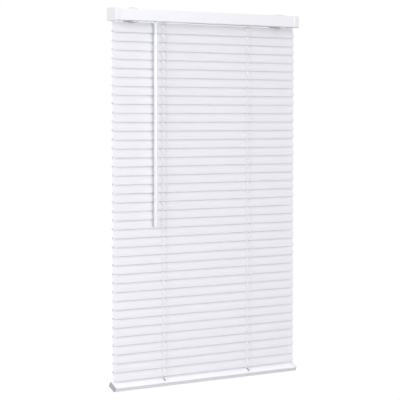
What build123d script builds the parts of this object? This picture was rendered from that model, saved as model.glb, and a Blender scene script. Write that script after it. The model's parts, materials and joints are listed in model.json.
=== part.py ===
"""Cordless 25 mm mini blind, hanging closed: headrail, tilter and wand, ladders, slats, bottom rail.

Frame: X along the width, -Y towards the room, +Z up. The origin is the centre of the brackets'
screw pattern, on the surface that the brackets are screwed up against. Millimetres.
"""

import os
from math import cos, radians, sin, tan

from build123d import *

os.makedirs("parts", exist_ok=True)

# Headrail
blind_width = 584.0
rail_depth = 35.0
rail_height = 29.0
rail_wall = 0.6
rail_lip = 4.0
rail_top = -1.6
rail_bottom = rail_top - rail_height
cap_wall = 1.0
cap_plate = 2.0
cap_band = 12.0

# Slats
slat_count = 40
slat_length = 578.0
slat_width = 25.4
slat_thickness = 0.5
slat_crown = 1.8
slat_pitch = 21.37
closed_tilt = 74.0
pivot_above_chord = 1.3
first_pivot = rail_bottom - 14.4
rout_length = 8.5
rout_width = 5.0
rout_centre = -3.25

# Cords
ladder_x = 135.0
ladder_half_width = 16.0
ladder_strand_gap = 14.0
ladder_strand_radius = 0.4
lift_cord_radius = 0.4
lift_cord_y = 1.05

# Tilting
rod_z = -16.0
rod_radius = 3.0
drum_radius = 8.0
hub_radius = 4.5
running_gap = 0.06
tilter_x = -172.0
gear_radius = 5.4
worm_radius = 3.4
worm_lean = 20.0
stem_radius = 1.2
ball_radius = 2.4
ball_y = -17.8
ball_z = -36.5

# Wand
connector_radius = 3.4
connector_length = 26.0
wand_across_flats = 8.0
wand_length = 460.0
spigot_radius = 2.0
spigot_length = 10.0

# Brackets
bracket_x = 233.0
bracket_width = 20.0
plate = 1.2
screw_radius = 2.2
screw_spacing = 16.0
latch_pin_y = -13.0
latch_pin_z = rail_bottom - 1.9
latch_pin_radius = 0.8
latch_barrel = 1.5

# Bottom rail
bottom_rail_length = 578.0
bottom_rail_width = 25.0
bottom_rail_height = 12.0
bottom_rail_drop = 1.0
bottom_rail_wall = 1.2
bottom_rail_tilt = 32.0
bottom_rail_z = -903.2


def tilted(u, v, tilt):
    """Y and Z of a point u towards the front edge and v above, once tilted front edge down."""
    a = radians(tilt)
    return -u * cos(a) - v * sin(a), -u * sin(a) + v * cos(a)


def section(x, y=0.0, z=0.0, tilt=0.0):
    """A plane across the blind at x, whose own x runs to the back edge and own y up."""
    a = radians(tilt)
    return Plane(origin=(x, y, z), x_dir=(0, cos(a), sin(a)), z_dir=(1, 0, 0))


def keep(solid, name):
    """Label a finished piece and write it."""
    solid.label = name
    export_step(solid, f"parts/{name}.step")


# The worm's axis rises from the wand's ball and leans back, past the front of the gear.
worm_axis = Plane(
    origin=(tilter_x, ball_y, ball_z),
    x_dir=(1, 0, 0),
    z_dir=(0, sin(radians(worm_lean)), cos(radians(worm_lean))),
)

# ---- Headrail: a roll-formed channel, open at the top, with two lips ----
channel_length = blind_width - 2 * cap_plate
rail_middle = rail_bottom + rail_height / 2
rail_corner = 2.0
floor_cut = 3.0
slot_length = 16.0
slot_width = 21.6
stem_hole_gap = 0.5
stem_reach = 12.0

with BuildPart() as headrail:
    with BuildSketch(section(-channel_length / 2, 0, rail_middle)) as channel:
        RectangleRounded(rail_depth, rail_height, rail_corner)
        RectangleRounded(
            rail_depth - 2 * rail_wall,
            rail_height - 2 * rail_wall,
            rail_corner - rail_wall,
            mode=Mode.SUBTRACT,
        )
        with Locations((0, rail_height / 2)):
            Rectangle(rail_depth - 2 * rail_lip, 2 * rail_corner, mode=Mode.SUBTRACT)
    extrude(amount=channel_length)
    # A slot in the floor under each drum lets the ladder and the lift cord out.
    with BuildSketch(Plane.XY.offset(rail_bottom)) as floor_slots:
        with Locations((-ladder_x, 0), (ladder_x, 0)):
            Rectangle(slot_length, slot_width)
    extrude(amount=floor_cut, mode=Mode.SUBTRACT)
    # A hole near the front of the floor lets the tilter's stem out.
    with BuildSketch(worm_axis) as stem_hole:
        Circle(stem_radius + stem_hole_gap)
    extrude(amount=stem_reach, mode=Mode.SUBTRACT)
keep(headrail.part, "headrail")

# ---- End caps: a plate with a band that goes over the rail's end ----
cap_fit = 0.02
cap_edge = 1.0

with BuildPart() as end_caps:
    for side in (-1, 1):
        outer = side * blind_width / 2
        with BuildSketch(section(outer, 0, rail_middle)) as cap_outline:
            RectangleRounded(rail_depth + 2 * cap_wall, rail_height + 2 * cap_wall, rail_corner + cap_wall)
        extrude(amount=-side * (cap_plate + cap_band))
        with BuildSketch(section(outer - side * cap_plate, 0, rail_middle)) as cap_inside:
            RectangleRounded(rail_depth + cap_fit, rail_height + cap_fit, rail_corner)
        extrude(amount=-side * (cap_band + 1), mode=Mode.SUBTRACT)
    outside_faces = end_caps.faces().filter_by(Axis.X)
    rims = outside_faces.sort_by(Axis.X)[0].edges() + outside_faces.sort_by(Axis.X)[-1].edges()
    fillet(rims, radius=cap_edge)
keep(end_caps.part, "headrail_end_caps")

# ---- Mounting brackets: folded strips round the top, back and underside of the headrail ----
arm_z = rail_bottom - 0.1 - plate
back_y = rail_depth / 2 + 0.2
bracket_front_y = -14.0
arm_front_y = latch_pin_y + latch_barrel + 0.4
ear_thickness = 2.0
ear_length = 6.0
ear_height = 3.1

with BuildPart() as brackets:
    for x in (-bracket_x, bracket_x):
        with BuildSketch(section(x - bracket_width / 2)) as strip:
            with BuildLine() as folds:
                Polyline(
                    (bracket_front_y, 0),
                    (back_y + plate, 0),
                    (back_y + plate, arm_z),
                    (arm_front_y, arm_z),
                    (arm_front_y, arm_z + plate),
                    (back_y, arm_z + plate),
                    (back_y, -plate),
                    (bracket_front_y, -plate),
                    close=True,
                )
            make_face()
        extrude(amount=bracket_width)
        for start in (-bracket_width / 2, bracket_width / 2 - ear_thickness):
            with BuildSketch(section(x + start)) as ear_outline:
                with Locations((latch_pin_y + 1.0, latch_pin_z + 0.25)):
                    RectangleRounded(ear_length, ear_height, 1.0)
            extrude(amount=ear_thickness)
        with BuildSketch(section(x - (bracket_width - ear_thickness) / 2)) as pin_outline:
            with Locations((latch_pin_y, latch_pin_z)):
                Circle(latch_pin_radius)
        extrude(amount=bracket_width - ear_thickness)
    with Locations(
        *[(x, y, 0) for x in (-bracket_x, bracket_x) for y in (-screw_spacing / 2, screw_spacing / 2)]
    ):
        Hole(radius=screw_radius, depth=2 * plate)
keep(brackets.part, "mounting_brackets")

# ---- Bracket latches: one on each bracket's pin, with a lip in front of the rail ----
latch_half = bracket_width / 2 - ear_thickness - 0.3
latch_front_y = -18.8
latch_lip = 0.9
latch_top_z = rail_bottom + 1.6
latch_foot_z = latch_pin_z - 0.6

with BuildPart() as latches:
    for x in (-bracket_x, bracket_x):
        with BuildSketch(section(x - latch_half)) as latch_outline:
            with Locations((latch_pin_y, latch_pin_z)):
                Circle(latch_barrel)
            with BuildLine() as lip:
                Polyline(
                    (latch_pin_y, latch_pin_z - latch_barrel),
                    (latch_front_y, latch_pin_z - latch_barrel),
                    (latch_front_y, latch_top_z),
                    (latch_front_y + latch_lip, latch_top_z),
                    (latch_front_y + latch_lip, latch_foot_z),
                    (latch_pin_y, latch_foot_z),
                    close=True,
                )
            make_face()
            with Locations((latch_pin_y, latch_pin_z)):
                Circle(latch_pin_radius + running_gap, mode=Mode.SUBTRACT)
        extrude(amount=2 * latch_half)
keep(latches.part, "bracket_latches")

# ---- Tilt rod, with the tilter's gear and a ladder drum over each floor slot ----
rod_start = tilter_x - 16.0
rod_end = ladder_x + 24.0

with BuildPart() as tilt_rod:
    with BuildSketch(section(rod_start, 0, rod_z)) as rod_outline:
        Circle(rod_radius)
    extrude(amount=rod_end - rod_start)
keep(tilt_rod.part, "tilt_rod")

gear_teeth = 12
gear_half = 1.5
gear_root = 4.4
tooth_length = 1.6
tooth_width = 1.2

with BuildPart() as tilter_gear:
    with BuildSketch(section(tilter_x - gear_half, 0, rod_z)) as gear_outline:
        Circle(gear_root)
        with PolarLocations(gear_radius - tooth_length / 2, gear_teeth):
            Rectangle(tooth_length, tooth_width)
        Circle(rod_radius, mode=Mode.SUBTRACT)
    extrude(amount=2 * gear_half)
keep(tilter_gear.part, "tilter_gear")

groove_half = 8.6
flange = 1.4
hub_length = 5.0
flange_outer = groove_half + flange
drum_half = flange_outer + hub_length

with BuildPart() as drums:
    for x in (-ladder_x, ladder_x):
        for start, length, radius in (
            (-drum_half, 2 * drum_half, hub_radius),
            (-flange_outer, flange, drum_radius),
            (groove_half, flange, drum_radius),
        ):
            with BuildSketch(section(x + start, 0, rod_z)) as turned:
                Circle(radius)
            extrude(amount=length)
        with BuildSketch(section(x - drum_half, 0, rod_z)) as bored:
            Circle(rod_radius)
        extrude(amount=2 * drum_half, mode=Mode.SUBTRACT)
keep(drums.part, "ladder_drums")

# ---- Drum cradles: two end walls on a base, and the hubs turn in the walls ----
floor_top = rail_bottom + rail_wall
wall_at = flange_outer + 1.0
cradle_wall = 2.5
cradle_depth = 30.0
cradle_base = 1.5
cradle_wall_size = 22.0
cord_hole_radius = 1.4
cord_hole_height = 3.4

with BuildPart() as cradles:
    for x in (-ladder_x, ladder_x):
        with BuildSketch(Plane.XY.offset(floor_top)) as base:
            with Locations((x, 0)):
                Rectangle(2 * (wall_at + cradle_wall), cradle_depth)
                Rectangle(slot_length, slot_width, mode=Mode.SUBTRACT)
        extrude(amount=cradle_base)
        for start in (-wall_at - cradle_wall, wall_at):
            with BuildSketch(section(x + start, 0, floor_top)) as wall_outline:
                with Locations((0, cradle_wall_size / 2)):
                    RectangleRounded(cradle_wall_size, cradle_wall_size, 2.5)
                with Locations((0, 1.0)):
                    Rectangle(cradle_wall_size, 2.0)
                with Locations((0, rod_z - floor_top)):
                    Circle(hub_radius + running_gap, mode=Mode.SUBTRACT)
                with Locations((lift_cord_y, cord_hole_height)):
                    Circle(cord_hole_radius, mode=Mode.SUBTRACT)
            extrude(amount=cradle_wall)
keep(cradles.part, "drum_cradles")

# ---- Tilter: a case, and a worm that leans past the front of the gear ----
worm_start = 17.5
worm_length = 10.0
journal_radius = 1.8
journal_length = 3.0

with BuildPart() as worm:
    for start, length, radius in (
        (0.0, worm_start + 0.5, stem_radius),
        (worm_start, worm_length, worm_radius),
        (worm_start + worm_length - 0.5, journal_length, journal_radius),
    ):
        with BuildSketch(worm_axis.offset(start)) as worm_step:
            Circle(radius)
        extrude(amount=length)
    with Locations(worm_axis):
        Sphere(ball_radius)
keep(worm.part, "tilter_worm")

case_half = 12.0
case_wall = 1.2
case_front = -16.8
case_back = 10.0
case_top = -3.4
case_depth = case_back - case_front
case_height = case_top - floor_top
case_centre = (tilter_x, (case_front + case_back) / 2)

with BuildPart() as tilter_case:
    with BuildSketch(Plane.XY.offset(floor_top)) as case_outline:
        with Locations(case_centre):
            Rectangle(2 * case_half, case_depth)
    extrude(amount=case_height)
    # The rail's rounded corner takes the case's lower front edge.
    chamfer(tilter_case.edges().filter_by(Axis.X).group_by(Axis.Z)[0].sort_by(Axis.Y)[0], length=1.0)
    with BuildSketch(Plane.XY.offset(floor_top + case_wall)) as case_inside:
        with Locations(case_centre):
            Rectangle(2 * (case_half - case_wall), case_depth - 2 * case_wall)
    extrude(amount=case_height, mode=Mode.SUBTRACT)
    with BuildSketch(section(tilter_x - case_half - 1, 0, rod_z)) as rod_holes:
        Circle(rod_radius + running_gap)
    extrude(amount=2 * case_half + 2, mode=Mode.SUBTRACT)
    with BuildSketch(worm_axis) as stem_way:
        Circle(stem_radius + running_gap)
    extrude(amount=stem_reach, mode=Mode.SUBTRACT)
keep(tilter_case.part, "tilter_case")

# ---- Wand connector: a socket on the stem's ball, and a spigot in the wand ----
socket_gap = 0.3
mouth_half_angle = 56.0
socket_top = connector_radius / tan(radians(mouth_half_angle))
connector_chamfer = 1.0
connector_bottom = ball_z - connector_length

with BuildPart() as connector:
    with BuildSketch(Plane.XZ.offset(-ball_y)) as connector_outline:
        with BuildLine() as turned_outline:
            Polyline(
                (tilter_x, ball_z),
                (tilter_x + connector_radius, ball_z + socket_top),
                (tilter_x + connector_radius, connector_bottom + connector_chamfer),
                (tilter_x + connector_radius - connector_chamfer, connector_bottom),
                (tilter_x + spigot_radius, connector_bottom),
                (tilter_x + spigot_radius, connector_bottom - spigot_length),
                (tilter_x, connector_bottom - spigot_length),
                close=True,
            )
        make_face()
    revolve(axis=Axis((tilter_x, ball_y, 0), (0, 0, 1)))
    with Locations((tilter_x, ball_y, ball_z)):
        Sphere(ball_radius + socket_gap, mode=Mode.SUBTRACT)
keep(connector.part, "wand_connector")

wand_top = connector_bottom - 0.3
wand_chamfer = 0.8
bore_spare = 1.0

with BuildPart() as wand:
    with BuildSketch(Plane.XY.offset(wand_top - wand_length)) as hexagon:
        with Locations((tilter_x, ball_y)):
            RegularPolygon(wand_across_flats / 2, 6, major_radius=False, rotation=30)
    extrude(amount=wand_length)
    chamfer(wand.edges().group_by(Axis.Z)[-1] + wand.edges().group_by(Axis.Z)[0], length=wand_chamfer)
    with BuildSketch(Plane.XY.offset(wand_top)) as wand_bore:
        with Locations((tilter_x, ball_y)):
            Circle(spigot_radius + running_gap)
    extrude(amount=-(spigot_length + bore_spare), mode=Mode.SUBTRACT)
keep(wand.part, "wand")

# ---- Spring motor: an open case on the rail's floor, with two spools ----
motor_half = 38.0
motor_depth = 30.0
motor_height = 9.0
motor_wall = 1.4
post_radius = 2.0
post_height = 7.5
spool_x = 16.0
spool_radius = 11.0
spool_hub_radius = 7.0
spool_flange = 0.8
spool_groove = 2.4
spool_bottom = 1.7

with BuildPart() as motor_case:
    with BuildSketch(Plane.XY.offset(floor_top)) as motor_outline:
        RectangleRounded(2 * motor_half, motor_depth, 3.0)
    extrude(amount=motor_height)
    with BuildSketch(Plane.XY.offset(floor_top + motor_wall)) as motor_inside:
        RectangleRounded(2 * (motor_half - motor_wall), motor_depth - 2 * motor_wall, 2.0)
    extrude(amount=motor_height, mode=Mode.SUBTRACT)
    with BuildSketch(section(-motor_half - 1, lift_cord_y, floor_top + cord_hole_height)) as cord_ways:
        Circle(cord_hole_radius)
    extrude(amount=2 * motor_half + 2, mode=Mode.SUBTRACT)
    with BuildSketch(Plane.XY.offset(floor_top)) as posts:
        with Locations((-spool_x, 0), (spool_x, 0)):
            Circle(post_radius)
    extrude(amount=post_height)
keep(motor_case.part, "spring_motor_case")

with BuildPart() as spools:
    for start, length, radius in (
        (spool_bottom, spool_flange, spool_radius),
        (spool_bottom + spool_flange, spool_groove, spool_hub_radius),
        (spool_bottom + spool_flange + spool_groove, spool_flange, spool_radius),
    ):
        with BuildSketch(Plane.XY.offset(floor_top + start)) as spool_step:
            with Locations((-spool_x, 0), (spool_x, 0)):
                Circle(radius)
        extrude(amount=length)
    with BuildSketch(Plane.XY.offset(floor_top)) as spool_bores:
        with Locations((-spool_x, 0), (spool_x, 0)):
            Circle(post_radius + running_gap)
    extrude(amount=motor_height, mode=Mode.SUBTRACT)
keep(spools.part, "lift_spools")

# ---- Lift cords: along the floor from the spools, then down through the slats ----
cord_run_z = floor_top + cord_hole_height
cord_bend = 3.0
cord_start = spool_x + spool_radius + 1.0
cord_end_z = bottom_rail_z + 0.8

with BuildPart() as lift_cords:
    for side in (-1, 1):
        with BuildLine() as cord_route:
            FilletPolyline(
                (side * cord_start, lift_cord_y, cord_run_z),
                (side * ladder_x, lift_cord_y, cord_run_z),
                (side * ladder_x, lift_cord_y, cord_end_z),
                radius=cord_bend,
            )
        with BuildSketch(section(side * cord_start, lift_cord_y, cord_run_z)) as cord_section:
            Circle(lift_cord_radius)
        sweep(path=cord_route.line)
keep(lift_cords.part, "lift_cords")

# ---- Slats: crowned strips, closed with the front edge down, each with two rout holes ----
arc_top = slat_crown - pivot_above_chord
rout_cut = 6.0
pivots = [first_pivot - k * slat_pitch for k in range(slat_count)]

for number, pivot_z in enumerate(pivots, start=1):
    with BuildPart() as slat:
        with BuildSketch(section(-slat_length / 2, 0, pivot_z, closed_tilt)) as slat_outline:
            with BuildLine() as crown_line:
                ThreePointArc(
                    (-slat_width / 2, -pivot_above_chord), (0, arc_top), (slat_width / 2, -pivot_above_chord)
                )
                offset(amount=slat_thickness / 2, side=Side.BOTH)
            make_face()
        extrude(amount=slat_length)
        across = Plane(
            origin=(0, 0, pivot_z),
            x_dir=(1, 0, 0),
            z_dir=(0, -sin(radians(closed_tilt)), cos(radians(closed_tilt))),
        )
        with BuildSketch(across.offset(-rout_cut / 2)) as rout_holes:
            with Locations((-ladder_x, -rout_centre), (ladder_x, -rout_centre)):
                SlotOverall(rout_length, rout_width, rotation=90)
        extrude(amount=rout_cut, mode=Mode.SUBTRACT)
    keep(slat.part, f"slat_{number:02d}")

# ---- Ladders: a pair of strands down each edge of the slats, at each drum ----
for name, edge in (("front_ladder_cords", 1), ("back_ladder_cords", -1)):
    strand_y, strand_dz = tilted(edge * ladder_half_width, -pivot_above_chord, closed_tilt)
    with BuildPart() as ladder:
        with BuildSketch(Plane.XY.offset(pivots[-1] + strand_dz - 1.0)) as strands:
            for x in (-ladder_x, ladder_x):
                with Locations((x - ladder_strand_gap / 2, strand_y), (x + ladder_strand_gap / 2, strand_y)):
                    Circle(ladder_strand_radius)
        extrude(amount=pivots[0] - pivots[-1] + 2.0)
    keep(ladder.part, name)

# ---- Ladder end strands: from each drum to the first slat, and from the last slat to the rail ----
drum_side = drum_radius + 0.8
lead_gap = 1.6
tail_gap = 1.4
narrow_half = 1.5
front_y, front_dz = tilted(ladder_half_width, -pivot_above_chord, closed_tilt)
rear_y, rear_dz = tilted(-ladder_half_width, -pivot_above_chord, closed_tilt)
tail_front_z = bottom_rail_z + 5.0
tail_rear_z = bottom_rail_z + 10.5


def strand(start, end):
    """A straight round strand between two points, added to the open part."""
    with BuildLine() as run:
        Line(start, end)
    with BuildSketch(Plane(origin=start, z_dir=Vector(*end) - Vector(*start))) as strand_section:
        Circle(ladder_strand_radius)
    sweep(sections=strand_section.sketch, path=run.line)


with BuildPart() as end_strands:
    for x in (-ladder_x, ladder_x):
        for side in (-1, 1):
            wide = x + side * ladder_strand_gap / 2
            narrow = x + side * narrow_half
            strand((narrow, -drum_side, rod_z), (wide, front_y, pivots[0] + front_dz + lead_gap))
            strand((wide, drum_side, rod_z), (wide, rear_y, pivots[0] + rear_dz + lead_gap))
            strand((wide, front_y, pivots[-1] + front_dz - tail_gap), (wide, front_y, tail_front_z))
            strand((wide, rear_y, pivots[-1] + rear_dz - tail_gap), (wide, rear_y, tail_rear_z))
keep(end_strands.part, "ladder_end_strands")

# ---- Bottom rail: a hollow extrusion with cord slots, and a cap in each end ----
# Its middle lies below the line that it tilts about.
bottom_rail_corner = 1.6
cord_slot_length = 13.0
cord_slot_width = 4.0
rail_cap_plate = 2.0
rail_cap_lap = 0.3
plug_length = 8.0
plug_gap = 0.05

with BuildPart() as bottom_rail:
    with BuildSketch(section(-bottom_rail_length / 2, 0, bottom_rail_z, bottom_rail_tilt)) as rail_outline:
        with Locations((0, -bottom_rail_drop)):
            RectangleRounded(bottom_rail_width, bottom_rail_height, bottom_rail_corner)
            RectangleRounded(
                bottom_rail_width - 2 * bottom_rail_wall,
                bottom_rail_height - 2 * bottom_rail_wall,
                bottom_rail_corner - bottom_rail_wall,
                mode=Mode.SUBTRACT,
            )
    extrude(amount=bottom_rail_length)
    rail_up = Plane(
        origin=(0, 0, bottom_rail_z),
        x_dir=(1, 0, 0),
        z_dir=(0, -sin(radians(bottom_rail_tilt)), cos(radians(bottom_rail_tilt))),
    )
    with BuildSketch(rail_up) as cord_slots:
        with Locations((-ladder_x, 0), (ladder_x, 0)):
            SlotOverall(cord_slot_length, cord_slot_width, rotation=90)
    extrude(amount=bottom_rail_height, mode=Mode.SUBTRACT)
keep(bottom_rail.part, "bottom_rail")

with BuildPart() as rail_caps:
    for side in (-1, 1):
        end = side * bottom_rail_length / 2
        with BuildSketch(section(end, 0, bottom_rail_z, bottom_rail_tilt)) as cap_plate_outline:
            with Locations((0, -bottom_rail_drop)):
                RectangleRounded(
                    bottom_rail_width + 2 * rail_cap_lap,
                    bottom_rail_height + 2 * rail_cap_lap,
                    bottom_rail_corner + rail_cap_lap,
                )
        extrude(amount=side * rail_cap_plate)
        with BuildSketch(section(end, 0, bottom_rail_z, bottom_rail_tilt)) as plug_outline:
            with Locations((0, -bottom_rail_drop)):
                RectangleRounded(
                    bottom_rail_width - 2 * (bottom_rail_wall + plug_gap),
                    bottom_rail_height - 2 * (bottom_rail_wall + plug_gap),
                    bottom_rail_corner - bottom_rail_wall - plug_gap,
                )
        extrude(amount=-side * plug_length)
keep(rail_caps.part, "bottom_rail_end_caps")
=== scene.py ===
"""Looks of a cordless mini blind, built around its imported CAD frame. Metres, +Z up, room at -Y."""

import json
from math import cos, pi, radians, sin

import bmesh
import bpy
from mathutils import Matrix, Vector


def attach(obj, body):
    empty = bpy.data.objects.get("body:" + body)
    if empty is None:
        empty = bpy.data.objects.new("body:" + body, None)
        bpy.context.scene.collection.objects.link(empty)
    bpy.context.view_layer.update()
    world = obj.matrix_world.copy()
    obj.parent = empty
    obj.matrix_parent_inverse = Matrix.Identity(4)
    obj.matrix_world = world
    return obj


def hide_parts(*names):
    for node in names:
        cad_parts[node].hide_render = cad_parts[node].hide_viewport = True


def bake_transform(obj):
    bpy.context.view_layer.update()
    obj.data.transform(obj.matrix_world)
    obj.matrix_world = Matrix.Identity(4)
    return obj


bl_info = {
    "name": "Mini blind",
    "version": (1, 0, 0),
    "blender": (4, 5, 0),
    "location": "View3D > Sidebar > Blind",
    "description": "Slats, ladders, headrail, wand and bottom rail of a venetian mini blind",
    "category": "Object",
}

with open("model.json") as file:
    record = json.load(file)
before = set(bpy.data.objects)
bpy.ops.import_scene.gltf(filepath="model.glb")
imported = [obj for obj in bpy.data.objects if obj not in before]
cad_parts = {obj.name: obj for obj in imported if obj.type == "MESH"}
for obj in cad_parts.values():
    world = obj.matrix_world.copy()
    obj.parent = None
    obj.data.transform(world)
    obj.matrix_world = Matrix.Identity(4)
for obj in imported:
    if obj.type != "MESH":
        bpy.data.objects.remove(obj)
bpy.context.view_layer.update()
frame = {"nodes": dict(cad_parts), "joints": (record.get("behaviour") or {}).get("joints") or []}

MM = 0.001
SLATS = sorted(name for name in frame["nodes"] if name.startswith("slat_"))
JOINTS = {joint["name"]: joint for joint in frame["joints"]}

# Ladders: one at each side, each with two strands to an edge and two rungs to a slat.
LADDER_X = 135.0 * MM
STRAND_GAP = 14.0 * MM
LADDER_HALF_WIDTH = 16.0 * MM
# The chord of a slat's crowned section lies this far under its pivot.
CHORD_DROP = 1.3 * MM
CLOSED_TILT = radians(74.0)
RUNG_GAP = 0.25 * MM
RUNG_STEPS = 4
RUNG_SIDES = 8

# Ladder ends: from the drums to slat 1, and from the last slat to the bottom rail.
DRUM_REACH = 8.5 * MM
DRUM_HALF_GAP = 1.5 * MM
LEAD_STOP = 0.4 * MM
LEAD_STEPS = 24
TAIL_FOOT = {"front": 1.5 * MM, "back": 3.0 * MM}
TAIL_STEPS = 12

# Bottom rail: its section about the pivot, before it tilts.
RAIL_TILT = radians(32.0)
RAIL_HALF_DEPTH = 12.5 * MM
RAIL_TOP = 5.0 * MM
RAIL_UNDER = -7.0 * MM
PLUG_SIDES = 32
# Share of the plug's radius, and millimetres under the rail, from its seat to its domed face.
PLUG_PROFILE = ((1.0, 0.0), (1.0, 0.35), (0.85, 0.85), (0.55, 1.1))
# Strands round the rail's front: sunk a little into it, and drawn together towards the plug.
STRAND_SUNK = 0.05 * MM
STRAND_OVER = 9.0 * MM
STRAND_UNDER = 8.0 * MM
STRAND_CORNER = 2.0 * MM
STRAND_NARROWING = 0.06

# Stage: the floor's half width and height, the sky's strengths, and the lights and camera.
FLOOR_HALF_WIDTH = 1.2
FLOOR_Z = -2.2
FLOOR_CELLS = 8
BACKDROP_COLOUR = (0.985, 0.985, 1.0, 1.0)
BACKDROP_SEEN = 1.03
SKY_BELOW = 0.08
SKY_ABOVE = 0.75
SKY_SPREAD = 0.6
BLIND_MIDDLE = Vector((0, 0, -0.46))
# Name, place, side of the square light in metres, and watts.
LIGHTS = (
    ("key", Vector((-0.9, -3.2, 0.0)), 0.6, 44.0),
    ("fill", Vector((-2.8, -1.0, 0.6)), 1.6, 42.0),
    ("back", Vector((1.4, 3.0, 0.2)), 1.6, 14.0),
    ("side", Vector((3.0, -0.3, 0.2)), 1.6, 16.0),
)
CAMERA_PLACE = (-2.819, -3.4187, -0.260)
CAMERA_DOWN = 2.65
CAMERA_TURN = -39.3
CAMERA_LENS = 161.1
SENSOR_WIDTH = 36.0
CAMERA_REACH = 100.0


# ---- Helpers ----
def linear(hex_colour):
    """An sRGB hex colour as linear RGBA."""
    channels = [int(hex_colour[i : i + 2], 16) / 255 for i in (1, 3, 5)]
    return [c / 12.92 if c <= 0.04045 else ((c + 0.055) / 1.055) ** 2.4 for c in channels] + [1.0]


def node(tree, kind, settings=None, inputs=None, links=None):
    """Add a shader node, set its fields and sockets, and link sockets from (node, output) pairs."""
    made = tree.nodes.new(kind)
    for key, value in (settings or {}).items():
        setattr(made, key, value)
    for key, value in (inputs or {}).items():
        made.inputs[key].default_value = value
    for key, (source, output) in (links or {}).items():
        tree.links.new(source.outputs[output], made.inputs[key])
    return made


def new_material(name, **sockets):
    """A material with its Principled shader's constant sockets set; returns it with tree and shader."""
    material = bpy.data.materials.new(name)
    material.use_nodes = True
    tree = material.node_tree
    shader = tree.nodes["Principled BSDF"]
    for key, value in sockets.items():
        shader.inputs[key.replace("_", " ")].default_value = value
    return material, tree, shader


def object_point(tree, stretch=(1, 1, 1)):
    """Object coordinates in metres, stretched so that a pattern can run long in one direction."""
    where = node(tree, "ShaderNodeTexCoord")
    return node(tree, "ShaderNodeMapping", inputs={"Scale": stretch}, links={"Vector": (where, "Object")})


def tone(tree, shader, point, size_mm, light, dark, detail=3.0):
    """Colour that wanders between two close tones in patches of a real size."""
    patches = node(
        tree,
        "ShaderNodeTexNoise",
        inputs={"Scale": 1000.0 / size_mm, "Detail": detail},
        links={"Vector": (point, "Vector")},
    )
    ramp = node(tree, "ShaderNodeValToRGB", links={"Fac": (patches, "Fac")})
    ramp.color_ramp.elements[0].position = 0.35
    ramp.color_ramp.elements[1].position = 0.65
    ramp.color_ramp.elements[0].color = dark
    ramp.color_ramp.elements[1].color = light
    tree.links.new(ramp.outputs["Color"], shader.inputs["Base Color"])
    return patches


def relief(tree, shader, source, depth_mm, strength):
    """Bump from a height pattern whose full height is depth_mm."""
    bump = node(
        tree,
        "ShaderNodeBump",
        inputs={"Strength": strength, "Distance": depth_mm * MM},
        links={"Height": (source, "Fac")},
    )
    tree.links.new(bump.outputs["Normal"], shader.inputs["Normal"])


def rough_range(tree, shader, source, low, high):
    """Roughness that follows a pattern between two values."""
    spread = node(
        tree,
        "ShaderNodeMapRange",
        inputs={"To Min": low, "To Max": high},
        links={"Value": (source, "Fac")},
    )
    tree.links.new(spread.outputs["Result"], shader.inputs["Roughness"])


# ---- Materials ----
def extruded_vinyl(look):
    """Thin extruded PVC: satin and slightly translucent, with faint die lines along the length."""
    material, tree, shader = new_material(
        "extruded_vinyl",
        IOR=1.53,
        Subsurface_Weight=0.2,
        Subsurface_Scale=4.0 * MM,
        Subsurface_Radius=(1.0, 1.0, 1.0),
    )
    point = object_point(tree, (0.02, 1, 1))
    lines = tone(tree, shader, point, 2.0, look.slat_colour, look.slat_shade)
    rough_range(tree, shader, lines, low=0.38, high=0.5)
    relief(tree, shader, lines, depth_mm=0.05, strength=0.25)
    return material


def coil_coated_steel(look):
    """Coil-coated steel: smooth enamel with a slight orange peel."""
    material, tree, shader = new_material("coil_coated_steel", IOR=1.5, Coat_Weight=0.15, Coat_Roughness=0.2)
    point = object_point(tree)
    peel = tone(tree, shader, point, 3.0, look.headrail_colour, look.headrail_shade)
    rough_range(tree, shader, peel, low=0.34, high=0.44)
    relief(tree, shader, peel, depth_mm=0.04, strength=0.2)
    return material


def grained_abs(name, light, dark):
    """ABS from a spark-eroded mould, whose fine grain scatters highlights."""
    material, tree, shader = new_material(name, IOR=1.54)
    point = object_point(tree)
    grain = tone(tree, shader, point, 0.7, light, dark, detail=5.0)
    rough_range(tree, shader, grain, low=0.42, high=0.55)
    relief(tree, shader, grain, depth_mm=0.05, strength=0.35)
    return material


def moulded_abs(look):
    """Grained ABS of the headrail's end caps."""
    return grained_abs("moulded_abs", look.cap_colour, look.cap_shade)


def shade_painted_abs(look):
    """Grained ABS of the bottom rail's caps and plugs: a cooler white, darkened to grey as painted shade for
    their shaded ends and undersides.
    """
    return grained_abs("shade_painted_abs", look.plug_colour, look.plug_shade)


def natural_acetal(look):
    """Natural acetal: creamy, slightly waxy mouldings inside the headrail."""
    material, tree, shader = new_material(
        "natural_acetal", IOR=1.48, Subsurface_Weight=0.1, Subsurface_Scale=2.0 * MM
    )
    point = object_point(tree)
    grain = tone(tree, shader, point, 4.0, look.inner_colour, look.inner_shade)
    rough_range(tree, shader, grain, low=0.35, high=0.5)
    relief(tree, shader, grain, depth_mm=0.03, strength=0.2)
    return material


def extruded_acrylic(look):
    """Extruded acrylic rod: glossy and milky, with faint draw lines along it."""
    material, tree, shader = new_material(
        "extruded_acrylic", IOR=1.49, Coat_Weight=0.5, Coat_Roughness=0.08
    )
    point = object_point(tree, (1, 1, 0.03))
    lines = tone(tree, shader, point, 1.5, look.wand_colour, look.wand_shade)
    rough_range(tree, shader, lines, low=0.12, high=0.2)
    relief(tree, shader, lines, depth_mm=0.03, strength=0.2)
    return material


def clear_polycarbonate(look):
    """Moulded polycarbonate: clear and glossy, a little scuffed."""
    material, tree, shader = new_material(
        "clear_polycarbonate", IOR=1.58, Coat_Weight=0.4, Coat_Roughness=0.1
    )
    point = object_point(tree)
    scuffs = tone(tree, shader, point, 2.5, look.clear_colour, look.clear_shade)
    rough_range(tree, shader, scuffs, low=0.14, high=0.28)
    relief(tree, shader, scuffs, depth_mm=0.02, strength=0.2)
    return material


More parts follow.
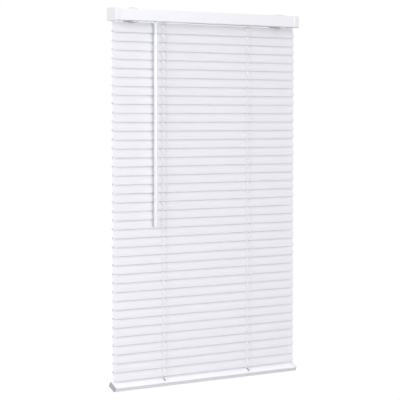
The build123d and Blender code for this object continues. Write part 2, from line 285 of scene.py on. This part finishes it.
def drawn_steel(look):
    """Cold-drawn steel rod: fine scratches along its length."""
    material, tree, shader = new_material("drawn_steel", Metallic=1.0)
    point = object_point(tree, (0.03, 1, 1))
    scratches = tone(tree, shader, point, 0.5, look.steel_colour, look.steel_shade)
    rough_range(tree, shader, scratches, low=0.28, high=0.42)
    relief(tree, shader, scratches, depth_mm=0.02, strength=0.3)
    return material


def painted_strip(look):
    """Pressed, white-painted strip: thin paint that shows the rolling direction."""
    material, tree, shader = new_material("painted_strip", IOR=1.5)
    point = object_point(tree, (0.1, 1, 1))
    streaks = tone(tree, shader, point, 1.5, look.bracket_colour, look.bracket_shade)
    rough_range(tree, shader, streaks, low=0.36, high=0.5)
    relief(tree, shader, streaks, depth_mm=0.03, strength=0.25)
    return material


def braided_polyester(look):
    """Braided polyester: crossing yarns; the braid is drawn coarser than real, so that it shows."""
    material, tree, shader = new_material("braided_polyester", IOR=1.5, Sheen_Weight=0.3, Roughness=0.75)
    point = object_point(tree)
    yarns = node(
        tree,
        "ShaderNodeTexWave",
        {"wave_type": "BANDS", "bands_direction": "DIAGONAL"},
        {"Scale": 500.0, "Distortion": 1.5, "Detail": 1.0},
        {"Vector": (point, "Vector")},
    )
    ramp = node(tree, "ShaderNodeValToRGB", links={"Fac": (yarns, "Fac")})
    ramp.color_ramp.elements[0].color = look.cord_shade
    ramp.color_ramp.elements[1].color = look.cord_colour
    tree.links.new(ramp.outputs["Color"], shader.inputs["Base Color"])
    relief(tree, shader, yarns, depth_mm=0.15, strength=0.5)
    return material


def rail_vinyl(look):
    """Heavier extruded PVC of the bottom rail, with broad die lines; both its tones are darkened to lavender
    grey as painted shade for its down-facing front and ends.
    """
    material, tree, shader = new_material("rail_vinyl", IOR=1.53)
    point = object_point(tree, (0.02, 1, 1))
    # Die-line tones of the rail, both darkened as painted shade.
    lines = tone(tree, shader, point, 3.0, look.rail_colour, look.rail_shade)
    rough_range(tree, shader, lines, low=0.36, high=0.48)
    relief(tree, shader, lines, depth_mm=0.05, strength=0.25)
    return material


def matt_paper(look):
    """Matt studio paper: nearly white, with very soft mottling."""
    material, tree, shader = new_material("matt_paper")
    point = object_point(tree)
    mottle = tone(tree, shader, point, 600.0, look.floor_colour, look.floor_shade)
    rough_range(tree, shader, mottle, low=0.85, high=0.95)
    return material


def finish_of(maker):
    """The material that a maker makes, made once."""
    return bpy.data.materials.get(maker.__name__) or maker(bpy.context.scene.blind_look)


def dress(name, maker):
    """Give a CAD node its material."""
    mesh = frame["nodes"][name].data
    mesh.materials.clear()
    mesh.materials.append(finish_of(maker))


# ---- Mesh building ----
def tilted(u, v, tilt):
    """Y and Z of a point u towards the front edge and v above, once tilted front edge down."""
    return -u * cos(tilt) - v * sin(tilt), -u * sin(tilt) + v * cos(tilt)


def join_rings(mesh, rings):
    """Join rings of vertices into a skin, closed at both ends."""
    sides = len(rings[0])
    for low, high in zip(rings, rings[1:]):
        for k in range(sides):
            mesh.faces.new((low[k], low[(k + 1) % sides], high[(k + 1) % sides], high[k]))
    mesh.faces.new(reversed(rings[0]))
    mesh.faces.new(rings[-1])


def tube(mesh, path, radius, sides=10):
    """Add a round tube along a list of points, closed at both ends."""
    rings = []
    for i, here in enumerate(path):
        ahead = path[min(i + 1, len(path) - 1)] - path[max(i - 1, 0)]
        turn = ahead.to_track_quat("Z", "Y").to_matrix()
        ring = []
        for k in range(sides):
            a = 2 * pi * k / sides
            ring.append(mesh.verts.new(here + turn @ Vector((radius * cos(a), radius * sin(a), 0))))
        rings.append(ring)
    join_rings(mesh, rings)


def straight(start, end, steps):
    """Evenly spaced points from start to end."""
    return [start.lerp(end, k / steps) for k in range(steps + 1)]


def make_piece(name, mesh, maker):
    """Turn a bmesh into an object with its material and slot."""
    bmesh.ops.recalc_face_normals(mesh, faces=mesh.faces)
    data = bpy.data.meshes.new(name)
    mesh.to_mesh(data)
    mesh.free()
    data.shade_smooth()
    piece = bpy.data.objects.new(name, data)
    bpy.context.scene.collection.objects.link(piece)
    data.materials.append(finish_of(maker))
    return piece


# ---- Settings ----
def colour(name, hex_colour):
    """A colour property whose default is given as an sRGB hex value."""
    return bpy.props.FloatVectorProperty(
        name=name,
        description=f"{name}, of the bare surface",
        default=linear(hex_colour),
        size=4,
        min=0.0,
        max=1.0,
        subtype="COLOR",
    )


def size(name, millimetres):
    """A length property whose default is given in millimetres."""
    return bpy.props.FloatProperty(
        name=name,
        description=f"{name}, from its centre to its skin",
        default=millimetres * MM,
        min=0.0,
        precision=5,
        subtype="DISTANCE",
    )


class BlindLook(bpy.types.PropertyGroup):
    """Colours of the blind's finishes, each with the tone of its marks"""

    slat_colour: colour("Slat colour", "#F1F1F6")
    slat_shade: colour("Slat colour in die lines", "#EDEDF3")
    headrail_colour: colour("Headrail colour", "#FAFAFE")
    headrail_shade: colour("Headrail colour, darker patches", "#F7F7FC")
    cap_colour: colour("End cap colour", "#F8F6FA")
    cap_shade: colour("End cap colour in its grain", "#F2F0F5")
    inner_colour: colour("Inner moulding colour", "#E8E6DE")
    inner_shade: colour("Inner moulding colour, darker patches", "#DFDCD2")
    wand_colour: colour("Wand colour", "#F0EFF4")
    wand_shade: colour("Wand colour in its draw lines", "#E4E3EA")
    clear_colour: colour("Clear moulding colour", "#DCDCE2")
    clear_shade: colour("Clear moulding colour in scuffs", "#D0D1D8")
    steel_colour: colour("Steel colour", "#B9BBBE")
    steel_shade: colour("Steel colour in scratches", "#A3A5A9")
    bracket_colour: colour("Bracket colour", "#DCDCDE")
    bracket_shade: colour("Bracket colour in streaks", "#CFCFD2")
    cord_colour: colour("Cord colour", "#F5F5F5")
    cord_shade: colour("Cord colour between yarns", "#D9D9DC")
    # The bottom rail's caps and plugs are greyed as painted shade, for their shaded ends and undersides.
    plug_colour: colour("Bottom rail cap colour", "#C6C5CE")
    plug_shade: colour("Bottom rail cap colour in its grain", "#BDBCC6")
    # The bottom rail's colours are darkened to lavender grey as painted shade, for the shade on its front
    # and ends that face down.
    rail_colour: colour("Bottom rail colour", "#C4C3D0")
    rail_shade: colour("Bottom rail colour in die lines", "#BDBCCB")
    floor_colour: colour("Floor colour", "#EDEDEE")
    floor_shade: colour("Floor colour, darker patches", "#E9E9EB")


class BlindSizes(bpy.types.PropertyGroup):
    """Radii of the cords and plugs"""

    strand: size("Ladder strand radius", 0.4)
    rung: size("Ladder rung radius", 0.3)
    plug: size("Cord plug radius", 5.0)


# ---- Operators ----
class BLIND_OT_cad_finishes(bpy.types.Operator):
    """Give the CAD nodes that stay visible their materials"""

    bl_idname = "blind.cad_finishes"
    bl_label = "Finish the frame's parts"

    def execute(self, context):
        for name in SLATS:
            dress(name, extruded_vinyl)
        dress("headrail", coil_coated_steel)
        dress("headrail_end_caps", moulded_abs)
        # The rail's end caps take the grey ABS whose darkness is painted shade.
        dress("bottom_rail_end_caps", shade_painted_abs)
        dress("mounting_brackets", painted_strip)
        for name in ("bracket_latches", "wand_connector"):
            dress(name, clear_polycarbonate)
        for name in ("tilter_case", "tilter_gear", "ladder_drums", "drum_cradles"):
            dress(name, natural_acetal)
        for name in ("spring_motor_case", "lift_spools"):
            dress(name, natural_acetal)
        for name in ("tilter_worm", "tilt_rod"):
            dress(name, drawn_steel)
        for name in ("lift_cords", "front_ladder_cords", "back_ladder_cords"):
            dress(name, braided_polyester)
        dress("wand", extruded_acrylic)
        # The bottom rail's vinyl is darkened as painted shade.
        dress("bottom_rail", rail_vinyl)
        return {"FINISHED"}


class BLIND_OT_rungs(bpy.types.Operator):
    """Make the ladder rungs that each slat lies on"""

    bl_idname = "blind.rungs"
    bl_label = "Make the rungs"

    def execute(self, context):
        radius = context.scene.blind_sizes.rung
        under = -CHORD_DROP - RUNG_GAP - radius
        for name in SLATS:
            pivot = Vector(JOINTS[f"{name}_tilt"]["pos_m"])
            mesh = bmesh.new()
            for x in (-LADDER_X, LADDER_X):
                for side in (-1, 1):
                    ends = []
                    for edge in (-1, 1):
                        y, z = tilted(edge * LADDER_HALF_WIDTH, under, CLOSED_TILT)
                        ends.append(pivot + Vector((x + side * STRAND_GAP / 2, y, z)))
                    tube(mesh, straight(ends[0], ends[1], RUNG_STEPS), radius, RUNG_SIDES)
            rungs = make_piece(f"rungs_{name[-2:]}", mesh, braided_polyester)
            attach(rungs, name)
        return {"FINISHED"}


class BLIND_OT_end_strands(bpy.types.Operator):
    """Make the strands from the drums to the first slat and from the last slat to the bottom rail"""

    bl_idname = "blind.end_strands"
    bl_label = "Make the ladder ends"

    def execute(self, context):
        radius = context.scene.blind_sizes.strand
        rod = Vector(JOINTS["tilt_rod_turn"]["pos_m"])
        first = Vector(JOINTS["slat_01_tilt"]["pos_m"])
        last = Vector(JOINTS[f"{SLATS[-1]}_tilt"]["pos_m"])
        rail = Vector(JOINTS["bottom_rail_tilt"]["pos_m"])
        pieces = []
        for edge, word in ((1, "front"), (-1, "back")):
            y, dz = tilted(edge * LADDER_HALF_WIDTH, -CHORD_DROP, CLOSED_TILT)
            top = bmesh.new()
            tail = bmesh.new()
            for x in (-LADDER_X, LADDER_X):
                for side in (-1, 1):
                    wide = x + side * STRAND_GAP / 2
                    narrow = x + side * DRUM_HALF_GAP
                    start = Vector((narrow if edge > 0 else wide, -edge * DRUM_REACH, rod.z))
                    end = Vector((wide, y, first.z + dz + LEAD_STOP))
                    tube(top, straight(start, end, LEAD_STEPS), radius)
                    high = Vector((wide, y, last.z + dz))
                    low = Vector((wide, y, rail.z + TAIL_FOOT[word]))
                    tube(tail, straight(high, low, TAIL_STEPS), radius)
            lead = make_piece(f"{word}_leads", top, braided_polyester)
            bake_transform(lead)
            tails = make_piece(f"{word}_tails", tail, braided_polyester)
            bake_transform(tails)
            pieces += [lead, tails]
        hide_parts("ladder_end_strands")
        return {"FINISHED"}


class BLIND_OT_rail_trim(bpy.types.Operator):
    """Make the cord plugs under the bottom rail and the strands round its front"""

    bl_idname = "blind.rail_trim"
    bl_label = "Make the bottom rail's trim"

    def execute(self, context):
        sizes = context.scene.blind_sizes
        pivot = Vector(JOINTS["bottom_rail_tilt"]["pos_m"])
        place = Matrix.Translation(pivot) @ Matrix.Rotation(RAIL_TILT, 4, "X")
        radius = sizes.plug
        plugs = bmesh.new()
        for x in (-LADDER_X, LADDER_X):
            rings = []
            for share, drop in PLUG_PROFILE:
                ring = []
                for k in range(PLUG_SIDES):
                    a = 2 * pi * k / PLUG_SIDES
                    across, along = x + share * radius * cos(a), share * radius * sin(a)
                    point = Vector((across, along, RAIL_UNDER - drop * MM))
                    ring.append(plugs.verts.new(place @ point))
                rings.append(ring)
            join_rings(plugs, rings)
        # The plugs take the same grey ABS, darkened as painted shade.
        piece = make_piece("cord_plugs", plugs, shade_painted_abs)
        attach(piece, "bottom_rail")

        strands = bmesh.new()
        front = -RAIL_HALF_DEPTH + STRAND_SUNK
        top = RAIL_TOP - STRAND_SUNK
        under = RAIL_UNDER + STRAND_SUNK
        round_front = (
            (front + STRAND_OVER, top),
            (front + STRAND_CORNER, top),
            (front + 0.6 * MM, top - 0.5 * MM),
            (front, top - STRAND_CORNER),
            (front, under + STRAND_CORNER),
            (front + 0.6 * MM, under + 0.5 * MM),
            (front + STRAND_CORNER, under),
            (front + STRAND_UNDER, under),
        )
        for x in (-LADDER_X, LADDER_X):
            for side in (-1, 1):
                path = []
                for k, (y, z) in enumerate(round_front):
                    narrowing = 1 - STRAND_NARROWING * k
                    path.append(place @ Vector((x + side * STRAND_GAP / 2 * narrowing, y, z)))
                tube(strands, path, sizes.strand)
        piece = make_piece("rail_strands", strands, braided_polyester)
        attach(piece, "bottom_rail")
        return {"FINISHED"}


class BLIND_OT_stage(bpy.types.Operator):
    """Make the floor, the lights and the camera"""

    bl_idname = "blind.stage"
    bl_label = "Make the stage"

    def execute(self, context):
        scene = context.scene
        floor = bmesh.new()
        bmesh.ops.create_grid(floor, x_segments=FLOOR_CELLS, y_segments=FLOOR_CELLS, size=FLOOR_HALF_WIDTH)
        data = bpy.data.meshes.new("floor")
        floor.to_mesh(data)
        floor.free()
        data.materials.append(finish_of(matt_paper))
        ground = bpy.data.objects.new("floor", data)
        ground.location = (0, 0, FLOOR_Z)
        scene.collection.objects.link(ground)

        world = bpy.data.worlds.new("studio")
        world.use_nodes = True
        # The backdrop is seen at full white, and lights the object more from above than from below.
        tree = world.node_tree
        seen = node(tree, "ShaderNodeLightPath")
        towards = node(tree, "ShaderNodeTexCoord")
        height = node(tree, "ShaderNodeSeparateXYZ", links={"Vector": (towards, "Generated")})
        sky = node(
            tree,
            "ShaderNodeMapRange",
            inputs={
                "From Min": -SKY_SPREAD,
                "From Max": SKY_SPREAD,
                "To Min": SKY_BELOW,
                "To Max": SKY_ABOVE,
            },
            links={"Value": (height, "Z")},
        )
        brightness = node(
            tree,
            "ShaderNodeMapRange",
            inputs={"To Max": BACKDROP_SEEN},
            links={"Value": (seen, "Is Camera Ray"), "To Min": (sky, "Result")},
        )
        backdrop = tree.nodes["Background"]
        backdrop.inputs["Color"].default_value = BACKDROP_COLOUR
        tree.links.new(brightness.outputs["Result"], backdrop.inputs["Strength"])
        scene.world = world

        for name, spot, width, power in LIGHTS:
            light = bpy.data.lights.new(name, "AREA")
            light.size = width
            light.energy = power
            lamp = bpy.data.objects.new(name, light)
            lamp.location = spot
            lamp.rotation_euler = (spot - BLIND_MIDDLE).to_track_quat("Z", "Y").to_euler()
            scene.collection.objects.link(lamp)

        camera = bpy.data.cameras.new("camera")
        camera.lens = CAMERA_LENS
        camera.sensor_width = SENSOR_WIDTH
        camera.clip_end = CAMERA_REACH
        eye = bpy.data.objects.new("camera", camera)
        eye.location = CAMERA_PLACE
        eye.rotation_euler = (radians(90.0 - CAMERA_DOWN), 0, radians(CAMERA_TURN))
        scene.collection.objects.link(eye)
        scene.camera = eye
        scene.view_settings.view_transform = "Standard"
        return {"FINISHED"}


class BLIND_PT_panel(bpy.types.Panel):
    """The blind's colours, radii and build steps"""

    bl_idname = "BLIND_PT_panel"
    bl_label = "Mini blind"
    bl_space_type = "VIEW_3D"
    bl_region_type = "UI"
    bl_category = "Blind"

    def draw(self, context):
        for group in (context.scene.blind_look, context.scene.blind_sizes):
            for key in group.__annotations__:
                self.layout.prop(group, key)
        for operator in OPERATORS:
            self.layout.operator(operator.bl_idname)


OPERATORS = (
    BLIND_OT_stage,
    BLIND_OT_cad_finishes,
    BLIND_OT_rungs,
    BLIND_OT_end_strands,
    BLIND_OT_rail_trim,
)
CLASSES = (BlindLook, BlindSizes, *OPERATORS, BLIND_PT_panel)


def register():
    for cls in CLASSES:
        bpy.utils.register_class(cls)
    bpy.types.Scene.blind_look = bpy.props.PointerProperty(type=BlindLook)
    bpy.types.Scene.blind_sizes = bpy.props.PointerProperty(type=BlindSizes)


def unregister():
    del bpy.types.Scene.blind_sizes
    del bpy.types.Scene.blind_look
    for cls in reversed(CLASSES):
        bpy.utils.unregister_class(cls)


def main():
    register()
    bpy.ops.blind.stage()
    bpy.ops.blind.cad_finishes()
    bpy.ops.blind.rungs()
    bpy.ops.blind.end_strands()
    bpy.ops.blind.rail_trim()


if __name__ == "__main__":
    main()
